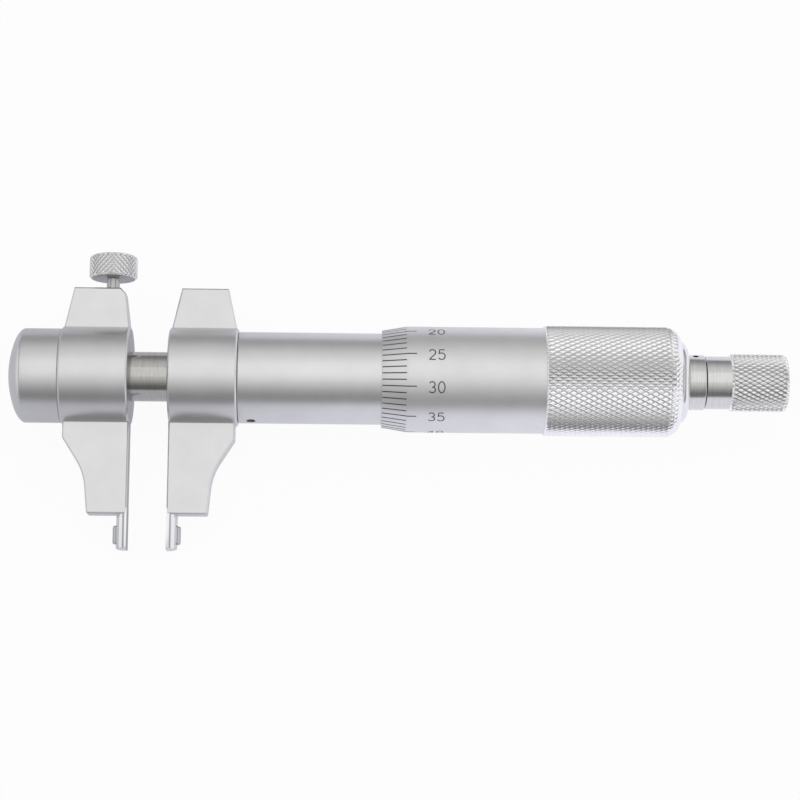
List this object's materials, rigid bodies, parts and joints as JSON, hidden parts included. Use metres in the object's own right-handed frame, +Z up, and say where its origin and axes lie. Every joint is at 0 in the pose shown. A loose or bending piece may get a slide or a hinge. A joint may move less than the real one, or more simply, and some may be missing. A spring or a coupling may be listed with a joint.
{
  "type": "inside micrometer",
  "caption": "Caliper-jaw inside micrometer with half-round measuring tips, sliding guide tube, graduated sleeve and thimble, ratchet stop and knurled lock screw.",
  "frame": {"origin": "On the spindle axis, in the plane where the end cap meets the moving jaw.", "axes": "+X along the spindle axis from the end cap to the ratchet stop; +Z up, away from the table that the instrument lies on; the measuring tips point to -Y and down."},
  "size_m": [0.1321, 0.0499, 0.0188],
  "materials": {
    "satin_chrome": "satin chrome plate, matt fine grain",
    "knurled_chrome": "bright chrome over diamond knurling",
    "ground_steel": "ground and lapped hardened steel",
    "steel": "turned steel",
    "carbide": "ground hard metal, dark grey",
    "brass": "turned brass"
  },
  "bodies": {
    "frame": {"fixed_jaw": "satin_chrome", "fixed_contact": "carbide", "inner_sleeve": "steel", "adjusting_nut": "steel", "guide_key": "steel"},
    "sleeve": {"graduated_sleeve": "satin_chrome"},
    "moving_jaw": {"moving_jaw": "satin_chrome", "moving_contact": "carbide", "guide_tube": "ground_steel", "end_cap": "satin_chrome", "thrust_washer": "brass"},
    "spindle": {"spindle": "steel", "thimble": "satin_chrome", "retaining_nut": "steel", "ratchet_base": "satin_chrome", "stud_screw": "steel"},
    "ratchet_knob": {"ratchet_knob": "knurled_chrome", "clutch_disc": "steel", "ratchet_spring": "steel"},
    "clamp_pad": {"clamp_pad": "brass"},
    "lock_screw": {"lock_screw": "knurled_chrome"}
  },
  "joints": [
    {"name": "sleeve_adjust", "type": "hinge", "parent": "frame", "child": "sleeve", "pos_m": [0.02982, 0, 0], "axis": [1, 0, 0], "range_deg": [-14.4, 14.4]},
    {"name": "jaw_slide", "type": "slide", "parent": "frame", "child": "moving_jaw", "axis": [1, 0, 0], "range_m": [-0.01858, 0.00642]},
    {"name": "thimble_turn", "type": "hinge", "parent": "moving_jaw", "child": "spindle", "pos_m": [0, 0, 0], "axis": [1, 0, 0], "range_deg": [-13377.6, 4622.4]},
    {"name": "ratchet_turn", "type": "hinge", "parent": "spindle", "child": "ratchet_knob", "pos_m": [0.1091, 0, 0], "axis": [1, 0, 0], "continuous": true},
    {"name": "pad_slide", "type": "slide", "parent": "moving_jaw", "child": "clamp_pad", "axis": [0, -0.9662, -0.2578], "range_m": [-0.000375, 0.00025]},
    {"name": "lock_turn", "type": "hinge", "parent": "clamp_pad", "child": "lock_screw", "pos_m": [0.0082, 0.00517, 0.00138], "axis": [0, -0.9662, -0.2578], "range_deg": [-270, 180]}
  ],
  "couplings": [
    {"joint": "thimble_turn", "follows": "jaw_slide", "rad_per_m": 12566},
    {"joint": "lock_turn", "follows": "pad_slide", "rad_per_m": 12566}
  ]
}
